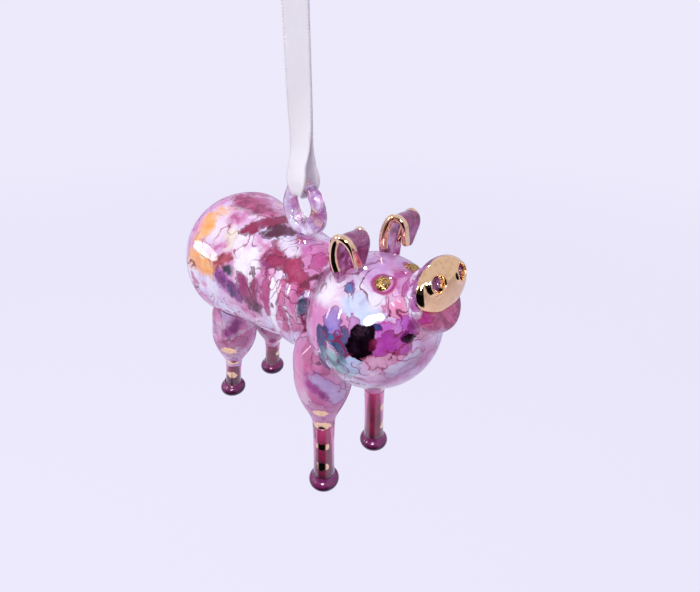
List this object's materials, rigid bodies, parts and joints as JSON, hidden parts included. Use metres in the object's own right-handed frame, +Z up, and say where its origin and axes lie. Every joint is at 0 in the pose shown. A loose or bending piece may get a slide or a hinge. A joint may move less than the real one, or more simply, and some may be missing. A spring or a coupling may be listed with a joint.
{
  "type": "hanging pig figurine",
  "caption": "Hollow glass pig figurine with an upturned gilded snout, folded ears and rod legs, hung by a satin ribbon from a ring on its back.",
  "frame": {"origin": "hang point: the underside of the ribbon's knot, where a hook or wire bears, 50 mm above the glass ring's centre and 136 mm above the soles", "axes": "+Z up; the pig's length runs along Y with its snout towards -Y; +X is the pig's left side"},
  "size_m": [0.0426, 0.1028, 0.1491],
  "materials": {
    "body_glass": "glossy marbled ink",
    "head_glass": "glossy marbled ink",
    "thigh_glass": "glossy tinted",
    "shank_glass": "glossy tinted",
    "foot_glass": "glossy tinted",
    "ear_glass": "glossy, margins gilded",
    "gilded_glass": "gold lustre",
    "clear_glass": "glossy clear",
    "tail_glass": "glossy tinted",
    "satin": "satin"
  },
  "bodies": {
    "hanger": {"ribbon_knot": "satin"},
    "ribbon_upper": {"ribbon_upper_left": "satin", "ribbon_upper_right": "satin"},
    "ribbon_lower": {"ribbon_bight": "satin", "ribbon_lower_left": "satin", "ribbon_lower_right": "satin"},
    "pig": {"body_shell": "body_glass", "head_shell": "head_glass", "snout_disc": "gilded_glass", "ear_left": "ear_glass", "ear_right": "ear_glass", "eye_left": "gilded_glass", "eye_right": "gilded_glass", "thigh_front_left": "thigh_glass", "thigh_front_right": "thigh_glass", "thigh_hind_left": "thigh_glass", "thigh_hind_right": "thigh_glass", "shank_front_left": "shank_glass", "shank_front_right": "shank_glass", "shank_hind_left": "shank_glass", "shank_hind_right": "shank_glass", "trotter_front_left": "foot_glass", "trotter_front_right": "foot_glass", "trotter_hind_left": "foot_glass", "trotter_hind_right": "foot_glass", "hanging_ring": "clear_glass", "tail": "tail_glass"}
  },
  "joints": [
    {"name": "ribbon_swing", "type": "hinge", "parent": "hanger", "child": "ribbon_upper", "pos_m": [0, 0, 0], "axis": [0.7145, -0.6997, 0], "range_deg": [-30, 30]},
    {"name": "ribbon_turn", "type": "hinge", "parent": "ribbon_upper", "child": "ribbon_lower", "pos_m": [0, 0, -0.02], "axis": [0, 0, 1], "range_deg": [-170, 170], "stiffness_Nm_per_rad": 0.0001},
    {"name": "pig_nod", "type": "hinge", "parent": "ribbon_lower", "child": "pig", "pos_m": [0, 0, -0.05], "axis": [1, 0, 0], "range_deg": [-25, 25]}
  ]
}
